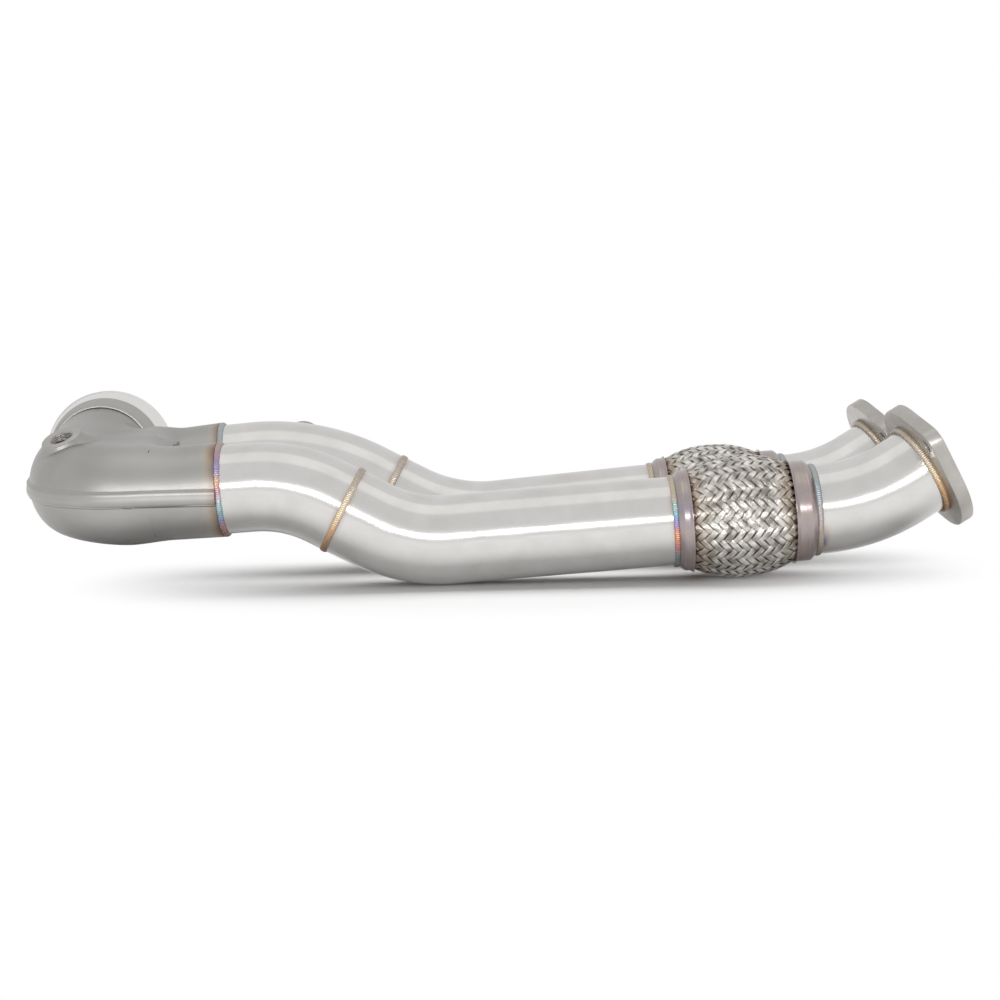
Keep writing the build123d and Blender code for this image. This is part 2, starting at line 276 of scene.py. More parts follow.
def ramp(tree, factor, stops):
    made = add(tree, "ShaderNodeValToRGB", {0: factor})
    points = made.color_ramp.elements
    while len(points) < len(stops):
        points.new(1.0)
    for point, (place, colour) in zip(points, stops):
        point.position = place
        point.color = (*colour, 1.0)
    return made.outputs[0]


def mixed(tree, factor, first, second):
    made = add(tree, "ShaderNodeMix", {0: factor}, data_type="RGBA")
    for socket, value in ((made.inputs[6], first), (made.inputs[7], second)):
        fill(tree, socket, (*value, 1.0) if isinstance(value, tuple) else value)
    return made.outputs[2]


def newGroup(name, kind, inputs, outputs):
    tree = bpy.data.node_groups.new(name, kind)
    for label, socketType, value in inputs:
        socket = tree.interface.new_socket(label, in_out="INPUT", socket_type=socketType)
        if value is not None:
            socket.default_value = value
    for label, socketType in outputs:
        tree.interface.new_socket(label, in_out="OUTPUT", socket_type=socketType)
    return tree, tree.nodes.new("NodeGroupInput").outputs, tree.nodes.new("NodeGroupOutput").inputs


def grouped(tree, group, inputs):
    return add(tree, "ShaderNodeGroup", inputs, node_tree=group).outputs


# Heat tint: oxide colours that follow the distance from a weld, broken up by a soft noise
tintShape = {"wander": 0.6, "wanderScale": 55.0, "patchScale": 24.0, "fade": 0.8}


def newTint(name, stops):
    tree, given, result = newGroup(
        name, "ShaderNodeTree",
        [("Distance", "NodeSocketFloat", 0.0), ("Reach", "NodeSocketFloat", 6.0),
         ("Strength", "NodeSocketFloat", 0.6), ("Even", "NodeSocketFloat", 0.2),
         ("Base", "NodeSocketColor", None), ("Place", "NodeSocketVector", None)],
        [("Colour", "NodeSocketColor")],
    )
    wander = calc(tree, "SUBTRACT", noise(tree, given["Place"], tintShape["wanderScale"], 2.0), 0.5)
    nearness = calc(tree, "DIVIDE", given["Distance"], given["Reach"])
    shifted = calc(tree, "MULTIPLY_ADD", wander, tintShape["wander"], nearness, clamp=True)
    fade = calc(tree, "POWER", calc(tree, "SUBTRACT", 1.0, shifted, clamp=True), tintShape["fade"])
    patches = noise(tree, given["Place"], tintShape["patchScale"], 1.0)
    spread = ranged(tree, patches, 0.38, 0.62, given["Even"], 1.0)
    mask = calc(tree, "MULTIPLY", calc(tree, "MULTIPLY", fade, spread), given["Strength"], clamp=True)
    fill(tree, result["Colour"], mixed(tree, mask, given["Base"], ramp(tree, shifted, stops)))
    return tree


heatTint = newTint("heatTint", [
    (0.0, (0.30, 0.22, 0.20)), (0.14, (0.26, 0.20, 0.34)), (0.27, (0.18, 0.24, 0.46)), (0.40, (0.42, 0.38, 0.50)),
    (0.55, (0.62, 0.47, 0.34)), (0.78, (0.72, 0.64, 0.50)), (1.0, (0.72, 0.70, 0.66)),
])
strawTint = newTint("strawTint", [
    (0.0, (0.24, 0.15, 0.10)), (0.25, (0.36, 0.25, 0.17)), (0.55, (0.52, 0.41, 0.29)), (1.0, (0.60, 0.55, 0.47)),
])


def tinted(tree, group, distance, reach, strength, even, base, place):
    return grouped(tree, group, {
        "Distance": distance, "Reach": reach, "Strength": strength, "Even": even, "Base": base, "Place": place,
    })["Colour"]


# Polish marks: fine streaks drawn out along one direction of the skin's own map
polishMarks, given, result = newGroup(
    "polishMarks", "ShaderNodeTree",
    [("Place", "NodeSocketVector", None), ("Around", "NodeSocketFloat", 0.05), ("Along", "NodeSocketFloat", 2.5)],
    [("Height", "NodeSocketFloat"), ("Blotch", "NodeSocketFloat")],
)
stretch = vectorOf(polishMarks, given["Around"], given["Along"], 1.0)
drawn = vectorCalc(polishMarks, "MULTIPLY", given["Place"], stretch)
fill(polishMarks, result["Height"], noise(polishMarks, drawn, 1.0, 4.0, 0.65))
fill(polishMarks, result["Blotch"], noise(polishMarks, given["Place"], 0.045, 3.0))


def polishOf(tree, look):
    inputs = {"Place": mapNamed(tree, "skin"), "Around": look["around"], "Along": look["along"]}
    return grouped(tree, polishMarks, inputs)


def newMaterial(name):
    material = bpy.data.materials.new(name)
    material.use_nodes = True
    tree = material.node_tree
    shader = tree.nodes["Principled BSDF"]
    shader.inputs["Metallic"].default_value = 1.0
    return material, tree, shader


def dress(tree, shader, colour, roughness, bump=None):
    fill(tree, shader.inputs["Base Color"], colour)
    fill(tree, shader.inputs["Roughness"], roughness)
    if bump:
        height, strength, relief = bump
        relief = add(tree, "ShaderNodeBump", {"Strength": strength, "Distance": relief, "Height": height})
        fill(tree, shader.inputs["Normal"], relief.outputs[0])


def tubeSteel(look):
    # Polished drawn tube. The map "ends" holds the distance from each end, for the heat tint
    material, tree, shader = newMaterial(look["name"])
    place = objectPlace(tree)
    marks = polishOf(tree, look)
    base = mixed(tree, spreadOf(tree, marks["Blotch"], 0.0, 1.0), look["light"], look["dark"])
    for end in partsOf(tree, mapNamed(tree, "ends"))[:2]:
        base = tinted(tree, heatTint, end, look["reach"], look["tint"], 0.0, base, place)
    for middle, stretch, reach in look["spots"]:
        # A burnt spot: the distance is stretched so that the spot is longer round the tube
        away = vectorCalc(tree, "MULTIPLY", vectorCalc(tree, "SUBTRACT", place, middle), stretch)
        base = tinted(tree, heatTint, vectorCalc(tree, "LENGTH", away), reach, 1.0, 1.0, base, place)
    roughness = spreadOf(tree, marks["Blotch"], look["smooth"], look["rough"])
    dress(tree, shader, base, roughness, (marks["Height"], look["bump"], look["relief"]))
    return material


tubeMaterial = tubeSteel({
    "name": "tubeSteel", "light": (0.76, 0.75, 0.735), "dark": (0.69, 0.675, 0.655), "reach": 7.0, "tint": 0.9,
    "smooth": 0.13, "rough": 0.2, "around": 0.03, "along": 3.0, "bump": 0.16, "relief": 0.00004,
    "spots": [((0.531, -0.1745, -0.0625), (1000.0, 330.0, 330.0), 7.0),
              ((0.5225, -0.0829, -0.03), (1000.0, 300.0, 420.0), 6.0)],
})


def plainSteel(look):
    # Satin sheet or machined metal, patterned on object coordinates
    material, tree, shader = newMaterial(look["name"])
    place = objectPlace(tree)
    grain = noise(tree, place, look["grain"], 3.0, 0.7)
    blotch = noise(tree, place, look["blotch"], 4.0)
    base = mixed(tree, spreadOf(tree, blotch, 0.0, 1.0), look["light"], look["dark"])
    for weld in look.get("welds", []):
        # A weld's tint stays on its own stub
        away = vectorCalc(tree, "SUBTRACT", place, weld["place"])
        along = calc(tree, "ABSOLUTE", vectorCalc(tree, "DOT_PRODUCT", away, weld["axis"]))
        beyond = calc(tree, "SUBTRACT", calc(tree, "ABSOLUTE", partsOf(tree, away)[1]), weld["halfWidth"])
        distance = calc(tree, "MULTIPLY", calc(tree, "MAXIMUM", along, beyond), 1000.0)
        base = tinted(tree, strawTint, distance, weld["reach"], weld["strength"], 0.5, base, place)
    roughness = spreadOf(tree, grain, look["smooth"], look["rough"])
    dress(tree, shader, base, roughness, (grain, look["bump"], look["relief"]))
    return material


# Tubes
def lengthsAlong(points):
    lengths = [0.0]
    for a, b in zip(points, points[1:]):
        lengths.append(lengths[-1] + (b - a).length)
    return lengths


def tubePiece(name, node, spots, side):
    around = tubeSizes["around"]
    lengths = lengthsAlong([point for point, _ in spots])
    total = lengths[-1]
    outer, inner = tubeSizes["radius"], tubeSizes["radius"] - tubeSizes["wall"]
    rings = [ringAt(point, way, side, outer, around) for point, way in spots]
    rings += [ringAt(point, way, side, inner, around) for point, way in reversed(spots)]
    alongs = lengths + [2 * total - length for length in reversed(lengths)] + [2 * total]
    mesh = ringMesh(name, rings, alongs, 2 * math.pi * outer, True)
    ends = mesh.uv_layers.new(name="ends")
    skin = mesh.uv_layers["skin"]
    for loop in range(len(mesh.loops)):
        along = skin.data[loop].uv[1]
        distance = along if along <= total else 2 * total - along
        ends.data[loop].uv = (distance, total - distance)
    return finished(placed(name, smoothed(mesh, 35.0)), tubeMaterial, "tube_steel", node)


for name, route in routes.items():
    tubePiece(name + "UpperTube", name + "_upper_tube", route["upper"], sideNormal)
    tubePiece(name + "LowerTube", name + "_lower_tube", route["lower"], sideNormal)
    tubePiece(name + "OutletTube", name + "_outlet_tube", route["outlet"], route["outletNormal"])
print("tubes made")


# Geometry Nodes helpers
def stored(tree, geometry, name, value):
    inputs = {"Geometry": geometry, "Name": name, "Value": value}
    return add(tree, "GeometryNodeStoreNamedAttribute", inputs, data_type="FLOAT", domain="POINT").outputs[0]


def solidOf(tree, instances, metal):
    solid = add(tree, "GeometryNodeRealizeInstances", {"Geometry": instances}).outputs[0]
    shaded = add(tree, "GeometryNodeSetShadeSmooth", {"Geometry": solid, "Shade Smooth": True}).outputs[0]
    return add(tree, "GeometryNodeSetMaterial", {"Geometry": shaded, "Material": metal}).outputs[0]


def nodesMesh(name, tree, values):
    # Runs a Geometry Nodes tree on an empty mesh and returns its result as a plain mesh
    holder = bpy.data.objects.new(name + "Maker", bpy.data.meshes.new(name + "Start"))
    bpy.context.scene.collection.objects.link(holder)
    modifier = holder.modifiers.new("make", "NODES")
    modifier.node_group = tree
    for item in tree.interface.items_tree:
        if item.item_type == "SOCKET" and item.in_out == "INPUT" and item.name in values:
            modifier[item.identifier] = values[item.name]
    graph = bpy.context.evaluated_depsgraph_get()
    shown = holder.evaluated_get(graph)
    mesh = bpy.data.meshes.new_from_object(shown, preserve_all_data_layers=True, depsgraph=graph)
    bpy.data.objects.remove(holder)
    mesh.name = name
    return mesh


# Weld beads: overlapping ripples in a low ring round the joint
rippleShape = {"jitter": 0.12, "uneven": 0.3, "overlap": 1.15, "lean": 0.42, "segments": 12, "rings": 7}


def weldTree():
    tree, given, result = newGroup(
        "weldRipples", "GeometryNodeTree",
        [("Radius", "NodeSocketFloat", 31.75), ("Width", "NodeSocketFloat", 4.6), ("Height", "NodeSocketFloat", 1.0),
         ("Pitch", "NodeSocketFloat", 1.5), ("Slope", "NodeSocketFloat", 0.0), ("Seed", "NodeSocketInt", 1),
         ("Metal", "NodeSocketMaterial", None)],
        [("Geometry", "NodeSocketGeometry")],
    )
    wayRound = calc(tree, "MULTIPLY", given["Radius"], 2 * math.pi)
    ripples = calc(tree, "ROUND", calc(tree, "DIVIDE", wayRound, given["Pitch"]))
    circle = add(tree, "GeometryNodeCurvePrimitiveCircle", {"Resolution": 128, "Radius": given["Radius"]}).outputs[0]
    beads = add(tree, "GeometryNodeResampleCurve", {"Curve": circle, "Count": ripples}).outputs[0]
    factor = add(tree, "GeometryNodeSplineParameter").outputs["Factor"]
    marked = stored(tree, beads, "around", factor)
    # One ripple lies along X across the ring's wall, Y round the ring and Z along the axis
    r = rippleShape
    limits = {2: -r["jitter"], 3: r["jitter"], "Seed": given["Seed"]}
    jitter = add(tree, "FunctionNodeRandomValue", limits, data_type="FLOAT").outputs[1]
    share = calc(tree, "ADD", 0.5, calc(tree, "MULTIPLY", jitter, r["uneven"]))
    halfWidth = calc(tree, "MULTIPLY", given["Width"], share)
    size = vectorOf(tree, given["Height"], calc(tree, "MULTIPLY", given["Pitch"], r["overlap"]), halfWidth)
    turn = calc(tree, "ADD", calc(tree, "MULTIPLY", factor, 2 * math.pi), calc(tree, "ADD", r["lean"], jitter))
    tilt = vectorOf(tree, 0.0, given["Slope"], turn)
    ball = {"Segments": r["segments"], "Rings": r["rings"], "Radius": 1.0}
    ripple = add(tree, "GeometryNodeMeshUVSphere", ball).outputs[0]
    inputs = {"Points": marked, "Instance": ripple, "Rotation": tilt, "Scale": size}
    ripplesPlaced = add(tree, "GeometryNodeInstanceOnPoints", inputs).outputs[0]
    fill(tree, result["Geometry"], solidOf(tree, ripplesPlaced, given["Metal"]))
    return tree


def weldSteel(name, look):
    # Bead colours run down both sides of the joint by height: "drop" is 0 at its top and 1 at its bottom. The hues
    # are heat tint, and the darker last colours at the bottom are painted shade on the bead's underside
    material, tree, shader = newMaterial(name)
    place = objectPlace(tree)
    wander = calc(tree, "SUBTRACT", noise(tree, place, 260.0, 2.0), 0.5)
    shifted = calc(tree, "MULTIPLY_ADD", wander, look["wander"], attributeNamed(tree, "drop"), clamp=True)
    fine = noise(tree, place, 900.0, 2.0)
    colour = mixed(tree, spreadOf(tree, fine, 0.0, 0.35), ramp(tree, shifted, look["colours"]), look["shade"])
    dress(tree, shader, colour, spreadOf(tree, fine, look["smooth"], look["rough"]))
    return material


weldMaker = weldTree()
# Each ramp runs from the bead's top to its bottom, and its last, darkest colours are painted shade on the underside
weldLooks = {
    "flexWeld": {
        "wander": 0.22, "shade": (0.35, 0.3, 0.28), "smooth": 0.18, "rough": 0.34,
        "colours": [(0.0, (0.62, 0.52, 0.40)), (0.22, (0.60, 0.56, 0.44)), (0.34, (0.30, 0.55, 0.56)),
                    (0.44, (0.25, 0.33, 0.66)), (0.50, (0.66, 0.26, 0.42)), (0.58, (0.86, 0.42, 0.20)),
                    (0.74, (0.68, 0.27, 0.25)), (0.85, (0.28, 0.40, 0.45)), (1.0, (0.40, 0.36, 0.33))],
    },
    "stubWeld": {
        "wander": 0.26, "shade": (0.34, 0.3, 0.28), "smooth": 0.18, "rough": 0.34,
        "colours": [(0.0, (0.52, 0.42, 0.36)), (0.12, (0.52, 0.34, 0.46)), (0.26, (0.33, 0.32, 0.60)),
                    (0.38, (0.80, 0.52, 0.30)), (0.48, (0.66, 0.32, 0.48)), (0.56, (0.62, 0.66, 0.74)),
                    (0.68, (0.32, 0.52, 0.54)), (0.78, (0.30, 0.33, 0.60)), (0.88, (0.62, 0.30, 0.24)),
                    (1.0, (0.24, 0.17, 0.22))],
    },
    "goldWeld": {
        "wander": 0.2, "shade": (0.42, 0.32, 0.22), "smooth": 0.2, "rough": 0.36,
        "colours": [(0.0, (0.50, 0.44, 0.38)), (0.25, (0.68, 0.60, 0.50)), (0.5, (0.82, 0.68, 0.48)),
                    (0.7, (0.74, 0.48, 0.28)), (0.88, (0.46, 0.29, 0.18)), (1.0, (0.25, 0.17, 0.12))],
    },
    "paleWeld": {
        "wander": 0.3, "shade": (0.38, 0.36, 0.34), "smooth": 0.22, "rough": 0.4,
        "colours": [(0.0, (0.46, 0.50, 0.50)), (0.3, (0.40, 0.47, 0.52)), (0.55, (0.52, 0.44, 0.44)),
                    (0.8, (0.58, 0.50, 0.40)), (1.0, (0.36, 0.32, 0.30))],
    },
}
weldMaterials = {name: weldSteel(name, look) for name, look in weldLooks.items()}
weldSizes = {
    "stub": {"Radius": 32.35, "Width": 5.0, "Height": 1.45, "Pitch": 1.5},
    "tube": {"Radius": 31.75, "Width": 5.2, "Height": 1.1, "Pitch": 1.45},
    "flex": {"Radius": 31.75, "Width": 4.4, "Height": 1.2, "Pitch": 1.4},
    "plate": {"Radius": 33.0, "Width": 6.0, "Height": 1.7, "Pitch": 1.5},
}
# How far the bead's middle stands off the joint, on the side of the tube
weldOffsets = {"stub": 1.6, "flex": 1.2, "plate": 1.3}


def weldPiece(name, node, point, way, size, seed, look, side=None):
    material = weldMaterials[look]
    mesh = nodesMesh(name, weldMaker, {"Metal": material, "Seed": seed, **weldSizes[size]})
    mesh.transform(standing(point, way, side))
    heights = [vertex.co.z for vertex in mesh.vertices]
    low, high = min(heights), max(heights)
    drop = mesh.attributes.new("drop", "FLOAT", "POINT")
    drop.data.foreach_set("value", [(high - height) / (high - low) for height in heights])
    return finished(placed(name, mesh), material, "weld_steel", node)


for name, route in routes.items():
    # The stub's end stands back from the tube's end by the overlap
    tubeEnd, back = route["upper"][-1]
    stubWeld = tubeEnd - back * (pipeSizes["stubOverlap"] + weldOffsets["stub"])
    stubLook = "stubWeld" if name == "front" else "paleWeld"
    weldPiece(name + "BonnetWeld", name + "_bonnet_weld", stubWeld, -back, "stub", 3, stubLook)
    weldPiece(name + "MidWeld", name + "_mid_weld", *route["lower"][0], "tube", 5, "goldWeld")
    flexPoint, along = route["lower"][-1]
    inlet = flexPoint - along * weldOffsets["flex"]
    weldPiece(name + "FlexInletWeld", name + "_flex_inlet_weld", inlet, along, "flex", 7, "flexWeld")
    outlet = flexPoint + along * (pipeSizes["flexLength"] + weldOffsets["flex"])
    weldPiece(name + "FlexOutletWeld", name + "_flex_outlet_weld", outlet, along, "flex", 9, "paleWeld")
print("welds made")


# Flexible section
flexSizes = {
    "Length": 71.5, "Start": 10.5, "Cuff Radius": 34.0, "Belly Radius": 42.7, "Belly Power": 2.3, "Turn": 1.95,
    "Lift": 0.62, "Strand Width": 4.5, "Strand Thickness": 0.7, "Repeats": 18,
}


strandShape = {"corners": 8, "slices": 92, "squareness": 1.12}


def braidTree():
    # One strand of each lean and phase is bent from a flat bar, then copied round the axis
    inputs = [(label, "NodeSocketFloat", value) for label, value in flexSizes.items() if label != "Repeats"]
    inputs += [("Repeats", "NodeSocketInt", flexSizes["Repeats"]), ("Metal", "NodeSocketMaterial", None)]
    tree, given, result = newGroup(
        "braidStrands", "GeometryNodeTree", inputs, [("Geometry", "NodeSocketGeometry")])
    barSizes = {
        "Vertices": strandShape["corners"], "Side Segments": strandShape["slices"], "Radius": 1.0, "Depth": 1.0}
    bar = add(tree, "GeometryNodeMeshCylinder", barSizes).outputs[0]
    spot = partsOf(tree, add(tree, "GeometryNodeInputPosition").outputs[0])
    part = calc(tree, "ADD", spot[2], 0.5)
    across = calc(tree, "MULTIPLY", spot[0], calc(tree, "MULTIPLY", given["Strand Width"], 0.5))
    crown = calc(tree, "MULTIPLY", spot[1], calc(tree, "MULTIPLY", given["Strand Thickness"], 0.5))
    marked = stored(tree, stored(tree, bar, "across", across), "part", part)
    angleStep = calc(tree, "DIVIDE", math.pi, given["Repeats"])
    reach = calc(tree, "MULTIPLY", given["Turn"], given["Belly Radius"])
    steepness = calc(tree, "ARCTAN2", reach, given["Length"])
    aside = calc(tree, "MULTIPLY", across, calc(tree, "COSINE", steepness))
    swell = calc(tree, "SUBTRACT", given["Belly Radius"], given["Cuff Radius"])
    joined = tree.nodes.new("GeometryNodeJoinGeometry")
    for lean, phase in ((1, 0), (1, 1), (-1, 0), (-1, 1)):
        start = calc(tree, "MULTIPLY", angleStep, phase)
        centreTurn = calc(tree, "MULTIPLY_ADD", calc(tree, "MULTIPLY", given["Turn"], lean), part, start)
        # Over two, under two: a rounded square wave that follows the angle round the axis
        waveTurn = calc(tree, "SUBTRACT", calc(tree, "MULTIPLY", centreTurn, given["Repeats"]), math.pi / 4)
        wave = calc(tree, "MULTIPLY", calc(tree, "COSINE", waveTurn), strandShape["squareness"])
        square = calc(tree, "MINIMUM", calc(tree, "MAXIMUM", wave, -1.0), 1.0)
        lift = calc(tree, "MULTIPLY", square, calc(tree, "MULTIPLY", given["Lift"], lean))
        sideways = calc(tree, "MULTIPLY", across, calc(tree, "MULTIPLY", calc(tree, "SINE", steepness), -lean))
        height = calc(tree, "MULTIPLY_ADD", part, given["Length"], calc(tree, "ADD", given["Start"], sideways))
        above = calc(tree, "SUBTRACT", height, given["Start"])
        share = calc(tree, "DIVIDE", above, given["Length"], clamp=True)
        edge = calc(tree, "ABSOLUTE", calc(tree, "MULTIPLY_ADD", share, 2.0, -1.0))
        bulge = calc(tree, "SUBTRACT", 1.0, calc(tree, "POWER", edge, given["Belly Power"]), clamp=True)
        belly = calc(tree, "MULTIPLY_ADD", swell, bulge, given["Cuff Radius"])
        radius = calc(tree, "ADD", calc(tree, "ADD", belly, lift), crown)
        turn = calc(tree, "ADD", centreTurn, calc(tree, "DIVIDE", aside, belly))
        x = calc(tree, "MULTIPLY", radius, calc(tree, "COSINE", turn))
        y = calc(tree, "MULTIPLY", radius, calc(tree, "SINE", turn))
        bent = {"Geometry": marked, "Position": vectorOf(tree, x, y, height)}
        tree.links.new(add(tree, "GeometryNodeSetPosition", bent).outputs[0], joined.inputs[0])
    line = {"Count": given["Repeats"], "Offset": (0.0, 0.0, 0.0)}
    copies = add(tree, "GeometryNodeMeshLine", line, mode="OFFSET").outputs[0]
    index = add(tree, "GeometryNodeInputIndex").outputs[0]
    onward = calc(tree, "MULTIPLY", index, calc(tree, "MULTIPLY", angleStep, 2.0))
    inputs = {"Points": copies, "Instance": joined.outputs[0], "Rotation": vectorOf(tree, 0.0, 0.0, onward)}
    strands = add(tree, "GeometryNodeInstanceOnPoints", inputs).outputs[0]
    fill(tree, result["Geometry"], solidOf(tree, strands, given["Metal"]))
    return tree


def braidSteel(look):
    # Each strand is a row of wires, so a sine across it raises them
    material, tree, shader = newMaterial(look["name"])
    place = objectPlace(tree)
    across, part = attributeNamed(tree, "across"), attributeNamed(tree, "part")
    wires = calc(tree, "SINE", calc(tree, "MULTIPLY", across, 2 * math.pi / look["wire"]))
    # Painted glints and painted shade: light and dark patches laid at random over the braid stand in for the
    # changing reflections of its wires
    blotch = noise(tree, place, look["glintPatch"], 1.0)
    base = mixed(tree, spreadOf(tree, blotch, -0.1, 1.1), look["light"], look["dark"])
    nearerEnd = calc(tree, "MINIMUM", part, calc(tree, "SUBTRACT", 1.0, part))
    fromEnd = calc(tree, "MULTIPLY", nearerEnd, flexSizes["Length"])
    colour = tinted(tree, strawTint, fromEnd, look["reach"], look["tint"], 0.4, base, place)
    roughness = spreadOf(tree, blotch, look["smooth"], look["rough"])
    dress(tree, shader, colour, roughness, (wires, 1.0, look["relief"]))
    return material


braidMaterial = braidSteel({
    "name": "braidSteel", "light": (0.90, 0.87, 0.82), "dark": (0.33, 0.305, 0.27), "wire": 0.6, "reach": 12.0,
    "tint": 0.85, "glintPatch": 150.0, "smooth": 0.10, "rough": 0.22, "relief": 0.00004,
})


def collarSteel(look):
    # Spun skin: fine streaks run round it, under a heat tint that comes and goes
    material, tree, shader = newMaterial(look["name"])
    marks = polishOf(tree, look)
    base = mixed(tree, spreadOf(tree, marks["Height"], 0.0, 1.0), look["light"], look["dark"])
    colour = ramp(tree, noise(tree, objectPlace(tree), look["clouds"], 3.0, 0.6), look["colours"])
    share = calc(tree, "MULTIPLY", spreadOf(tree, marks["Blotch"], 0.3, 1.0), look["tint"], clamp=True)
    roughness = spreadOf(tree, marks["Height"], look["smooth"], look["rough"])
    bump = (marks["Height"], look["bump"], look["relief"])
    dress(tree, shader, mixed(tree, share, base, colour), roughness, bump)
    return material


collarMaterial = collarSteel({
    "name": "collarSteel", "light": (0.52, 0.47, 0.45), "dark": (0.30, 0.255, 0.25), "clouds": 70.0, "tint": 0.45,
    "colours": [(0.0, (0.30, 0.34, 0.52)), (0.36, (0.42, 0.36, 0.48)), (0.46, (0.50, 0.42, 0.42)),
                (0.55, (0.56, 0.47, 0.40)), (0.64, (0.60, 0.38, 0.42)), (1.0, (0.66, 0.52, 0.40))],
    "smooth": 0.18, "rough": 0.3, "around": 0.02, "along": 2.2, "bump": 0.25, "relief": 0.00005,
})
collarShape = {
    "skin": 35.8, "bore": 34.0, "cone": 3.5, "lip": 37.2, "lipWidth": 2.0, "edge": 0.2,
    "Inlet": 10.5, "Outlet": 16.0,
}


def collarMesh(name, skirt):
    # From the tube's outer skin up the cone, along the skirt to its lip, and back inside
    c = collarShape
    tube, bore = tubeSizes["radius"], tubeSizes["radius"] - tubeSizes["wall"]
    lipStart = skirt - c["lipWidth"]
    return turnedMesh(name, [
        (tube, 0.0), (tube + 0.5, 0.5), (c["skin"] - 0.5, c["cone"] + 0.4), (c["skin"], c["cone"] + 1.6),
        (c["skin"], lipStart - 1.0), (c["skin"] + 0.35, lipStart + 0.2), (c["lip"], skirt - 0.5),
        (c["lip"], skirt), (c["bore"], skirt), (c["bore"], c["cone"] + 1.5), (bore, 1.2), (bore, 0.0),
    ], tubeSizes["around"], c["edge"])


braidMaker = braidTree()
flexMirror = Matrix.Translation((0, 0, pipeSizes["flexLength"])) @ Matrix.Scale(-1, 4, (0, 0, 1))
for name, route in routes.items():
    flexPlace = standing(*route["lower"][-1])
    braid = nodesMesh(name + "FlexBraid", braidMaker, {**flexSizes, "Metal": braidMaterial})
    piece = placed(name + "FlexBraid", braid, flexPlace)
    finished(piece, braidMaterial, "braid_steel", name + "_flex_braid")
    for end in ("Inlet", "Outlet"):
        collar = collarMesh(name + "Flex" + end + "Collar", collarShape[end])
        if end == "Outlet":
            collar.transform(flexMirror)
            collar.flip_normals()
        piece = placed(collar.name, collar, flexPlace)
        finished(piece, collarMaterial, "collar_steel", name + "_flex_" + end.lower() + "_collar")
print("flexible sections made")


# Outlet flanges: a flat outline of arcs and tangents, filled and bevelled as a curve
flangeShape = {
    "thickness": 10.0, "round": 47.5, "ear": 11.5, "boltCircle": 47.0, "bolt": 4.25, "earAngle": 25.0,
    "recess": 2.0, "edge": 0.7,
}


def arcOf(centre, radius, first, turn, steps):
    angles = [first + turn * i / steps for i in range(steps + 1)]
    return [centre + Vector((math.cos(t), math.sin(t), 0)) * radius for t in angles]


def flangeOutline(shape, steps=48):
    # Tangent lines join the round body to each ear
    lean = math.acos((shape["round"] - shape["ear"]) / shape["boltCircle"])
    points = []
    for ear in (0, math.pi):
        centre = Vector((math.cos(ear), math.sin(ear), 0)) * shape["boltCircle"]
        points += arcOf(centre, shape["ear"], ear - lean, 2 * lean, steps)
        points += arcOf(Vector(), shape["round"], ear + lean, math.pi - 2 * lean, steps)
    return points


def circleOf(centre, radius, steps):
    return arcOf(centre, radius, 0.0, 2 * math.pi, steps)[:-1]


def plateMesh(name, loops, thickness, edge):
    curve = bpy.data.curves.new(name, "CURVE")
    curve.dimensions = "2D"
    curve.fill_mode = "BOTH"
    curve.extrude = thickness / 2 - edge
    curve.bevel_depth = edge
    curve.bevel_resolution = 2
    curve.offset = -edge
    for loop in loops:
        spline = curve.splines.new("POLY")
        spline.points.add(len(loop) - 1)
        for point, place in zip(spline.points, loop):
            point.co = (place.x, place.y, 0, 1)
        spline.use_cyclic_u = True
    holder = bpy.data.objects.new(name + "Maker", curve)
    bpy.context.scene.collection.objects.link(holder)
    graph = bpy.context.evaluated_depsgraph_get()
    mesh = bpy.data.meshes.new_from_object(holder.evaluated_get(graph))
    bpy.data.objects.remove(holder)
    mesh.transform(Matrix.Translation((0, 0, thickness / 2)))
    return smoothed(mesh, 30.0)


flangeMaterial = plainSteel({
    "name": "flangeSteel", "light": (0.56, 0.54, 0.51), "dark": (0.44, 0.42, 0.39), "grain": 420.0, "blotch": 50.0,
    "smooth": 0.28, "rough": 0.42, "bump": 0.25, "relief": 0.0001,
})
earTurn = Matrix.Rotation(math.radians(-flangeShape["earAngle"]), 3, "Z")
boltReach = Vector((flangeShape["boltCircle"], 0, 0))
flangeLoops = [
    [earTurn @ point for point in flangeOutline(flangeShape)],
    circleOf(Vector(), tubeSizes["radius"], tubeSizes["around"]),
    circleOf(earTurn @ boltReach, flangeShape["bolt"], 40),
    circleOf(earTurn @ -boltReach, flangeShape["bolt"], 40),
]
for name, route in routes.items():
    tubeEnd, heading = route["outlet"][-1]
    near = (Vector((0, -1, 0)) + heading * heading.y).normalized()
    facePoint = tubeEnd - heading * (flangeShape["thickness"] - flangeShape["recess"])
    plate = plateMesh(name + "OutletFlange", flangeLoops, flangeShape["thickness"], flangeShape["edge"])
    piece = placed(name + "OutletFlange", plate, standing(facePoint, heading, near))
    finished(piece, flangeMaterial, "flange_steel", name + "_outlet_flange")
    bead = facePoint - heading * weldOffsets["plate"]
    weldPiece(name + "OutletWeld", name + "_outlet_weld", bead, heading, "plate", 11, "goldWeld", near)
print("flanges made")


# Turbo inlet ring
def ringSteel(look):
    # Bright turned ring whose neck, past the given depth, is satin like the bonnet
    material, tree, shader = newMaterial(look["name"])
    place = objectPlace(tree)
    turned = noise(tree, vectorCalc(tree, "MULTIPLY", place, look["stretch"]), 1.0, 2.0)
    neck = ranged(tree, partsOf(tree, place)[1], -look["neckFrom"], -look["neckTo"], 0.0, 1.0)
    bright = mixed(tree, spreadOf(tree, turned, 0.0, 1.0), look["light"], look["dark"])
    roughness = calc(tree, "MULTIPLY_ADD", neck, look["neckRough"] - look["rough"], look["rough"])
    bump = (turned, look["bump"], look["relief"])
    dress(tree, shader, mixed(tree, neck, bright, look["neck"]), roughness, bump)
    return material


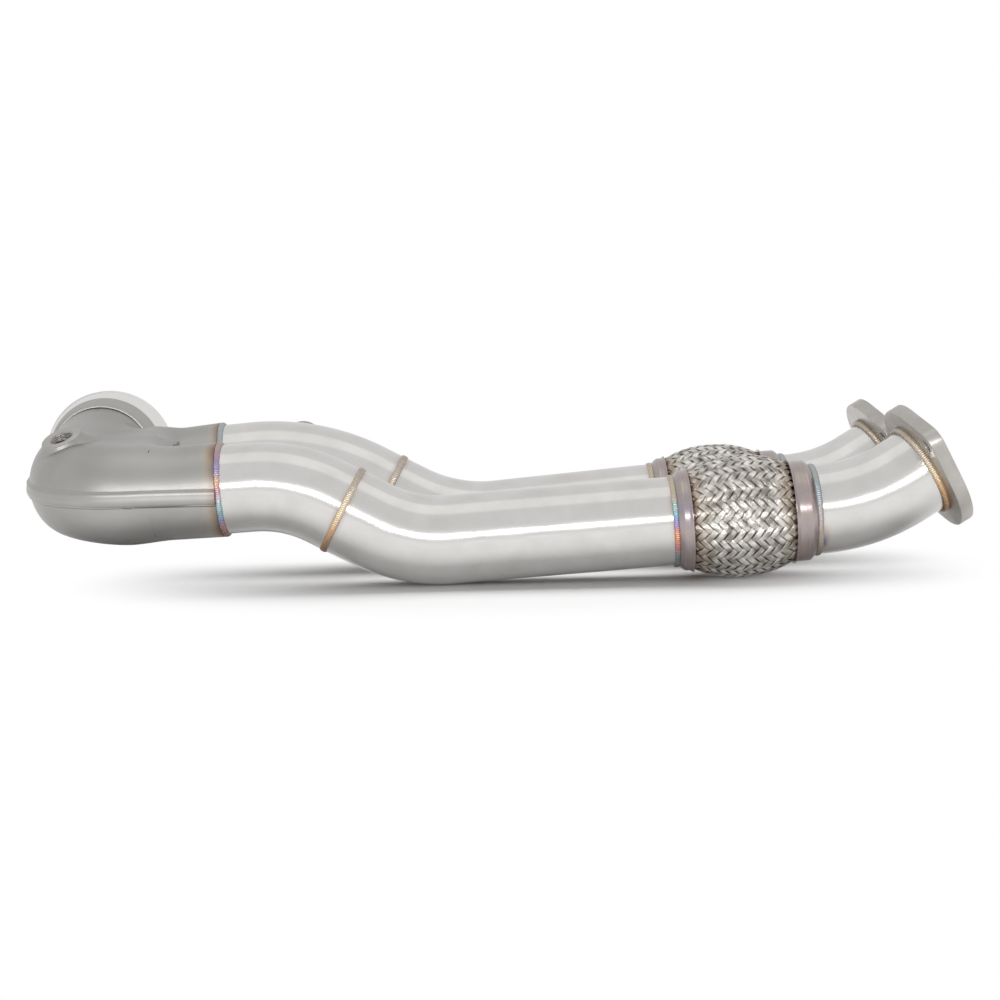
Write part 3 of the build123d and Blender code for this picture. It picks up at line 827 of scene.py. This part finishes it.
ringMaterial = ringSteel({
    "name": "ringSteel", "light": (0.90, 0.89, 0.87), "dark": (0.84, 0.83, 0.81), "stretch": (24.0, 5400.0, 24.0),
    "neckFrom": 0.0222, "neckTo": 0.023, "neck": (0.47, 0.46, 0.44), "rough": 0.24, "neckRough": 0.42,
    "bump": 0.08, "relief": 0.00004,
})
ringProfile = [
    (43.0, 0.0), (49.0, 0.0), (49.0, -9.0), (45.0, -21.0), (38.5, -38.0), (36.5, -38.0), (43.0, -16.0),
]
ring = turnedMesh("inletRing", ringProfile, 160, 0.35)
piece = placed("inletRing", ring, standing((0, 0, 0), (0, 1, 0), (1, 0, 0)))
finished(piece, ringMaterial, "ring_steel", "vband_flange")


# Bonnet: the shells keep the solids' shape, as merged copies with smooth faces
bonnetMaterial = plainSteel({
    "name": "bonnetSteel", "light": (0.48, 0.47, 0.455), "dark": (0.40, 0.39, 0.375), "grain": 1300.0,
    "blotch": 22.0, "smooth": 0.34, "rough": 0.46, "bump": 0.35, "relief": 0.0001,
    "welds": [
        {"place": (0.107, -0.15, -0.0167), "axis": (0.9986, 0.0, 0.0523), "halfWidth": 0.04,
         "reach": 10.0, "strength": 0.9},
        {"place": (0.096, -0.051, -0.0089), "axis": (0.9968, 0.0, 0.0802), "halfWidth": 0.04,
         "reach": 8.0, "strength": 0.7},
    ],
})
stubs = {
    "front": {"end": (107.0, -150.0, -16.7), "way": (0.9986, 0.0, 0.0523), "out": -1.0},
    "rear": {"end": (96.0, -51.0, -8.9), "way": (0.9968, 0.0, 0.0802), "out": 1.0},
}
# "from" and "to" are where the blend starts and ends, and "step" where the solids have their step
blendSizes = {
    "from": 44.0, "to": 74.0, "slice": 3.0, "radius": 33.25, "inside": 30.0, "probe": 70.0, "between": -100.5,
    "sideFade": 0.3, "topFrom": 0.5, "topFade": 0.2, "step": (54.0, 63.0), "merge": 0.02, "sliver": 0.15,
}
seamShape = {
    "middle": (0.0, -150.0, -15.52), "tilt": 4.2, "cut": -1.5, "step": 2.5, "bridge": (46.0, 68.0),
    "centre": (30.0, -100.0, -15.0), "neckFrom": -30.0, "taper": 14.0, "curve": 68.0, "join": 5.0,
    "passes": 12, "shortest": 60.0, "gapFrom": 60.0, "stubEndFrom": 85.0, "neckEndFrom": -60.0, "crown": 2.5,
    "profile": [(5.2, -0.5), (4.2, 0.8), (2.9, 1.72), (1.2, 1.85), (-0.4, 2.1), (-1.8, 2.5), (-3.4, 2.7),
                (-5.0, 2.5), (-6.5, 1.95), (-7.4, 1.0), (-7.9, -0.6)],
    "buried": [(-7.0, 2.0), (4.0, 1.0)],
}


def solidBody(node):
    # The solid's own mesh stays as it is: this is a merged copy, in millimetres
    body = bmesh.new()
    body.from_mesh(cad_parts[node].data)
    body.transform(Matrix.Scale(1 / mm, 4))
    bmesh.ops.remove_doubles(body, verts=body.verts, dist=0.001)
    body.normal_update()
    return body


def solidPiece(name, node, body, material, slotName, sharpAngle):
    mesh = bpy.data.meshes.new(name)
    body.to_mesh(mesh)
    body.free()
    return finished(placed(name, smoothed(mesh, sharpAngle, flip=False)), material, slotName, node)


def stubCentre(stub, x):
    end, way = Vector(stub["end"]), Vector(stub["way"])
    return end + way * ((x - end.x) / way.x)


def skinRadius(stub, x, side):
    probe = blendSizes["probe"]
    distance = skinTree.ray_cast(stubCentre(stub, x) + side * probe, -side)[3]
    return blendSizes["radius"] if distance is None else probe - distance


def blend(body):
    # Pressed sheet flows into the two stubs: the outer skin is drawn to a blend between two sections
    b = blendSizes
    low, high = b["from"], b["to"]
    cut = low + b["slice"]
    while cut < high:
        geometry = body.verts[:] + body.edges[:] + body.faces[:]
        bmesh.ops.bisect_plane(body, geom=geometry, dist=0.0001, plane_co=(cut, 0, 0), plane_no=(1, 0, 0))
        cut += b["slice"]
    body.normal_update()
    moves = []
    for vert in body.verts:
        if not low < vert.co.x < high:
            continue
        stub = stubs["front"] if vert.co.y < b["between"] else stubs["rear"]
        offset = vert.co - stubCentre(stub, vert.co.x)
        offset.x = 0.0
        side = offset.normalized()
        # It holds on the stub's outer side and its top, and fades out towards the gap
        onSide = (side.y * stub["out"] + b["sideFade"]) / b["sideFade"]
        onTop = (side.z - b["topFrom"]) / b["topFade"]
        hold = min(1.0, max(onSide, onTop))
        if vert.normal.dot(side) < 0.05 or hold <= 0.0 or offset.length < b["inside"]:
            continue
        share = (vert.co.x - low) / (high - low)
        share = share * share * (3 - 2 * share)
        radius = (1 - share) * skinRadius(stub, low, side) + share * b["radius"]
        moves.append((vert, side * (radius - offset.length) * hold))
    for vert, move in moves:
        vert.co += move
    bmesh.ops.remove_doubles(body, verts=body.verts, dist=b["merge"])
    # The step is flat now, so its slivers go
    start, end = b["step"]
    stepEdges = [edge for edge in body.edges if all(start < vert.co.x < end for vert in edge.verts)]
    bmesh.ops.dissolve_degenerate(body, dist=b["sliver"], edges=stepEdges)


def onOuterSkin(face):
    # Not inside the shell, in the gap between the stubs, or on an end face
    spot, normal = face.calc_center_median(), face.normal
    inGap = spot.x > seamShape["gapFrom"] and pipes["front"]["y"] < spot.y < pipes["rear"]["y"]
    onStubEnd = normal.x > 0.9 and spot.x > seamShape["stubEndFrom"]
    onNeckEnd = normal.y > 0.9 and spot.y > seamShape["neckEndFrom"]
    outward = normal.dot(spot - Vector(seamShape["centre"])) > 0
    return outward and not (inGap or onStubEnd or onNeckEnd)


def seamChains(body, up):
    # Where the plane just under the seam cuts the outer skin, as chains of points
    middle = Vector(seamShape["middle"])
    cuts, links = {}, {}
    for face in body.faces:
        if not onOuterSkin(face):
            continue
        crossed = []
        for edge in face.edges:
            first, second = (((v.co - middle).dot(up) - seamShape["cut"]) for v in edge.verts)
            if (first < 0) != (second < 0):
                cuts[edge.index] = edge.verts[0].co.lerp(edge.verts[1].co, first / (first - second))
                crossed.append(edge.index)
        if len(crossed) == 2:
            links.setdefault(crossed[0], []).append(crossed[1])
            links.setdefault(crossed[1], []).append(crossed[0])
    chains, left = [], set(links)
    while left:
        following = [min(left, key=lambda k: (len(links[k]), k))]
        chain = []
        while following:
            chain.append(following[0])
            left.discard(following[0])
            following = [k for k in links[chain[-1]] if k in left]
        chains.append([cuts[k] for k in chain])
    return chains


def joinedTo(other, chain):
    # The stub's step breaks the chain, so ends that nearly meet are joined
    for ready in (chain, chain[::-1]):
        if (other[-1] - ready[0]).length < seamShape["join"]:
            other += ready
            return True
        if (other[0] - ready[-1]).length < seamShape["join"]:
            other[:0] = ready
            return True
    return False


def evenly(points, step):
    lengths = lengthsAlong(points)
    count = max(2, int(lengths[-1] / step))
    spots, i = [], 0
    for k in range(count + 1):
        goal = lengths[-1] * k / count
        while i < len(lengths) - 2 and lengths[i + 1] < goal:
            i += 1
        span = lengths[i + 1] - lengths[i]
        spots.append(points[i].lerp(points[i + 1], (goal - lengths[i]) / span if span else 0.0))
    return spots


def ridgeMesh(name, chain, up):
    spots = evenly(chain, seamShape["step"])
    # The blend hides the stub's step, so the path runs straight over it
    near = [i for i, spot in enumerate(spots) if seamShape["bridge"][0] < spot.x < seamShape["bridge"][1]]
    first, last = spots[near[0]], spots[near[-1]]
    for i in near:
        spots[i] = first.lerp(last, (i - near[0]) / (near[-1] - near[0]))
    for _ in range(seamShape["passes"]):
        inner = [(a + b * 2 + c) / 4 for a, b, c in zip(spots, spots[1:], spots[2:])]
        spots = [spots[0]] + inner + [spots[-1]]
    centre, cut, crown = Vector(seamShape["centre"]), seamShape["cut"], seamShape["crown"]
    rings, total = [], len(spots)
    for i, spot in enumerate(spots):
        way = spots[min(i + 2, total - 1)] - spots[max(i - 2, 0)]
        out = way.cross(up).normalized()
        out = out if out.dot(spot - centre) > 0 else -out
        # The ridge sinks in at the neck, and follows the skin's curve above and below the seam
        height = min(1.0, max(0.0, seamShape["neckFrom"] - spot.y) / seamShape["taper"])
        ring = []
        for v, h in seamShape["profile"]:
            sag = ((cut - crown) ** 2 - (v - crown) ** 2) / seamShape["curve"]
            ring.append(spot + up * (v - cut) + out * (sag + h * height))
        ring += [spot + up * (v - cut) - out * depth for v, depth in seamShape["buried"]]
        rings.append(ring)
    mesh = ringMesh(name, rings, [seamShape["step"] * i for i in range(total)], 30.0, False)
    body = bmesh.new()
    body.from_mesh(mesh)
    bmesh.ops.holes_fill(body, edges=body.edges, sides=0)
    body.to_mesh(mesh)
    body.free()
    return smoothed(mesh, 50.0)


shellNodes = {"bonnetUpperShell": "bonnet_upper_shell", "bonnetLowerShell": "bonnet_lower_shell"}
shellBodies = {name: solidBody(node) for name, node in shellNodes.items()}
joinedSkin = bmesh.new()
for name, body in shellBodies.items():
    part = bpy.data.meshes.new(name + "Part")
    body.to_mesh(part)
    joinedSkin.from_mesh(part)
    bpy.data.meshes.remove(part)
skinTree = BVHTree.FromBMesh(joinedSkin)

seamUp = Matrix.Rotation(math.radians(seamShape["tilt"]), 3, "X") @ Vector((0, 0, 1))
ridges = []
for chain in sorted(seamChains(shellBodies["bonnetLowerShell"], seamUp), key=len, reverse=True):
    if not any(joinedTo(other, chain) for other in ridges):
        ridges.append(chain)
for ridge in ridges:
    if lengthsAlong(ridge)[-1] > seamShape["shortest"]:
        isFront = min(point.y for point in ridge) < blendSizes["between"]
        name = "seamRidgeFront" if isFront else "seamRidgeBack"
        finished(placed(name, ridgeMesh(name, ridge, seamUp)), bonnetMaterial, "bonnet_steel")
for name, body in shellBodies.items():
    blend(body)
    solidPiece(name, shellNodes[name], body, bonnetMaterial, "bonnet_steel", 28.0)
joinedSkin.free()
for name, node, material, sharpAngle in (
    ("rearSensorBungWeld", "rear_sensor_bung_weld", weldMaterials["paleWeld"], 40.0),
    ("bonnetInletWeld", "bonnet_inlet_weld", bonnetMaterial, 60.0),
):
    solidPiece(name, node, solidBody(node), material, "weld_steel", sharpAngle)
print("bonnet made")

# Sensor bosses: turned, with an M18 x 1.5 thread cut into the bore
bossMaterial = plainSteel({
    "name": "bossSteel", "light": (0.52, 0.505, 0.485), "dark": (0.44, 0.425, 0.405), "grain": 800.0,
    "blotch": 60.0, "smooth": 0.26, "rough": 0.4, "bump": 0.3, "relief": 0.0001,
})
threadShape = {
    "pitch": 1.5, "crest": 8.25, "root": 9.05, "edge": 0.5, "mouth": 9.6, "around": 96, "row": 0.2, "start": 0.6,
    "flank": 2.3,
}


def threadedMesh(name, outer, length):
    t = threadShape
    axis, side = Vector((0, 0, 1)), Vector((1, 0, 0))
    profile = [(outer, -length), (outer, -t["edge"]), (outer - t["edge"], 0.0), (t["mouth"], 0.0)]
    rings = [ringAt(Vector((0, 0, z)), axis, side, r, t["around"]) for r, z in profile]
    for row in range(int((length - t["start"]) / t["row"]) + 1):
        z = -t["start"] - t["row"] * row
        ring = []
        for i in range(t["around"]):
            phase = (z / t["pitch"] + i / t["around"]) % 1.0
            rise = min(1.0, t["flank"] * min(phase, 1.0 - phase))
            radius = t["root"] - (t["root"] - t["crest"]) * rise
            angle = 2 * math.pi * i / t["around"]
            ring.append(Vector((radius * math.cos(angle), radius * math.sin(angle), z)))
        rings.append(ring)
    return smoothed(ringMesh(name, rings, [0.0] * (len(rings) + 1), 1.0, True), 28.0)


bossSizes = {"face": (-9.1, -134.3, 22.2), "way": (-0.26, -0.38, 0.89), "radius": 14.5, "length": 11.0}
bossPlace = standing(bossSizes["face"], bossSizes["way"])
boss = threadedMesh("bonnetSensorBoss", bossSizes["radius"], bossSizes["length"])
finished(placed("bonnetSensorBoss", boss, bossPlace), bossMaterial, "boss_steel", "bonnet_sensor_boss")
flareProfile = [
    (bossSizes["radius"], -0.9), (15.4, -2.4), (16.8, -4.4), (18.8, -6.6), (21.4, -9.0), (24.5, -12.0),
    (24.5, -15.0), (bossSizes["radius"], -15.0),
]
flare = smoothed(turnedMesh("bonnetBossFlare", flareProfile), 40.0)
piece = placed("bonnetBossFlare", flare, bossPlace)
finished(piece, bonnetMaterial, "bonnet_steel", "bonnet_sensor_boss_weld")


def halfWay(spots):
    lengths = [(b - a).length for (a, _), (b, _) in zip(spots, spots[1:])]
    left = sum(lengths) / 2
    for (a, _), (b, _), length in zip(spots, spots[1:], lengths):
        if left <= length:
            return a + (b - a) * (left / length)
        left -= length


bungSizes = {"tilt": 60.0, "above": 9.0, "radius": 13.0, "length": 12.5}
bungTilt = math.radians(bungSizes["tilt"])
bungSide = Vector((0, math.sin(bungTilt), math.cos(bungTilt)))
bungFace = halfWay(routes["rear"]["upper"]) + bungSide * (tubeSizes["radius"] + bungSizes["above"])
bung = threadedMesh("rearSensorBung", bungSizes["radius"], bungSizes["length"])
piece = placed("rearSensorBung", bung, standing(bungFace, bungSide, (1, 0, 0)))
finished(piece, bossMaterial, "boss_steel", "rear_sensor_bung")
print("sensor bosses made")

# Nothing replaces the bellows and the liners inside, so they keep their solids
bellowsMaterial = plainSteel({
    "name": "bellowsSteel", "light": (0.5, 0.48, 0.45), "dark": (0.4, 0.38, 0.35), "grain": 700.0, "blotch": 60.0,
    "smooth": 0.25, "rough": 0.4, "bump": 0.2, "relief": 0.0001,
})
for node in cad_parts.values():
    if not node.hide_render:
        node.data.materials.clear()
        node.data.materials.append(bellowsMaterial)


# Studio
def areaLight(name, place, target, size, power, colour=(1.0, 1.0, 1.0)):
    light = bpy.data.lights.new(name, "AREA")
    light.shape = "RECTANGLE"
    light.size, light.size_y = size
    light.energy = power
    light.color = colour
    lamp = bpy.data.objects.new(name, light)
    lamp.location = place
    lamp.rotation_mode = "QUATERNION"
    lamp.rotation_quaternion = (Vector(target) - Vector(place)).to_track_quat("-Z", "Y")
    bpy.context.scene.collection.objects.link(lamp)
    return lamp


areaLight("overheadSoftbox", (0.3, -0.15, 1.7), (0.3, -0.15, 0.0), (2.6, 1.0), 1.6, (1.0, 0.97, 0.9))
# This one draws the bright line that runs along both tubes
frontStrip = areaLight("frontStrip", (0.3, -2.6, 0.58), (0.3, -0.1, 0.0), (3.4, 0.22), 19.0)
frontStrip.visible_diffuse = False
# The floor's shadow falls forward from this one, which metal doesn't mirror
backSoftbox = areaLight("backSoftbox", (0.3, 0.5, 1.45), (0.3, -0.1, -0.088), (3.2, 1.2), 36.0)
backSoftbox.visible_glossy = False

# The floor turns plain white away from the object: "seen" for the camera, "near" for mirrored rays
studio = {
    "floorHeight": -0.088, "floorSize": 8.0, "floorColour": 0.88, "middle": (0.33, -0.1, 0.0),
    "seen": {"squash": (0.62, 1.0, 0.0), "from": 0.075, "to": 0.22, "curve": "SMOOTHSTEP"},
    "near": {"squash": (0.12, 1.0, 0.0), "from": 0.04, "to": 0.2, "curve": "LINEAR"},
    "mirrored": 0.78, "fill": 0.25,
}


def whiteness(tree, away, zone):
    distance = vectorCalc(tree, "LENGTH", vectorCalc(tree, "MULTIPLY", away, zone["squash"]))
    return ranged(tree, distance, zone["from"], zone["to"], 0.0, 1.0, interpolation_type=zone["curve"])


def floorMaterial():
    material = bpy.data.materials.new("paleFloor")
    material.use_nodes = True
    tree = material.node_tree
    tree.nodes.clear()
    away = vectorCalc(tree, "SUBTRACT", objectPlace(tree), studio["middle"])
    ray = add(tree, "ShaderNodeLightPath").outputs
    seen = calc(tree, "MULTIPLY", whiteness(tree, away, studio["seen"]), ray["Is Camera Ray"])
    share = calc(tree, "MULTIPLY_ADD", whiteness(tree, away, studio["near"]), ray["Is Glossy Ray"], seen)
    diffuse = add(tree, "ShaderNodeBsdfDiffuse", {"Color": (*[studio["floorColour"]] * 3, 1.0)}).outputs[0]
    white = add(tree, "ShaderNodeEmission", {"Color": (1.0, 1.0, 1.0, 1.0), "Strength": 1.0}).outputs[0]
    surface = add(tree, "ShaderNodeMixShader", {0: share, 1: diffuse, 2: white}).outputs[0]
    add(tree, "ShaderNodeOutputMaterial", {"Surface": surface})
    return material


def buildFloor():
    half = studio["floorSize"] / 2
    mesh = bpy.data.meshes.new("floor")
    corners = [(-half, -half), (half, -half), (half, half), (-half, half)]
    mesh.from_pydata([(x, y, studio["floorHeight"]) for x, y in corners], [], [(0, 1, 2, 3)])
    mesh.materials.append(floorMaterial())
    floor = bpy.data.objects.new("floor", mesh)
    bpy.context.scene.collection.objects.link(floor)


def buildWorld():
    world = bpy.data.worlds.new("studioWorld")
    bpy.context.scene.world = world
    world.use_nodes = True
    tree = world.node_tree
    tree.nodes.clear()
    ray = add(tree, "ShaderNodeLightPath").outputs
    level = mixed(tree, ray["Is Glossy Ray"], (studio["fill"],) * 3, (studio["mirrored"],) * 3)
    colour = mixed(tree, ray["Is Camera Ray"], level, (1.0, 1.0, 1.0))
    background = add(tree, "ShaderNodeBackground", {"Color": colour, "Strength": 1.0}).outputs[0]
    add(tree, "ShaderNodeOutputWorld", {"Surface": background})


buildFloor()
buildWorld()

camera = bpy.data.objects.new("camera", bpy.data.cameras.new("camera"))
camera.data.lens = cameraView["lens"]
camera.data.sensor_width = cameraView["sensor"]
axes = (Vector(cameraView["right"]), Vector(cameraView["up"]), -Vector(cameraView["forward"]))
camera.matrix_world = Matrix.Translation(cameraView["place"]) @ Matrix(axes).transposed().to_4x4()
bpy.context.scene.collection.objects.link(camera)
bpy.context.scene.camera = camera
bpy.context.scene.view_settings.view_transform = "Standard"
print("studio made")
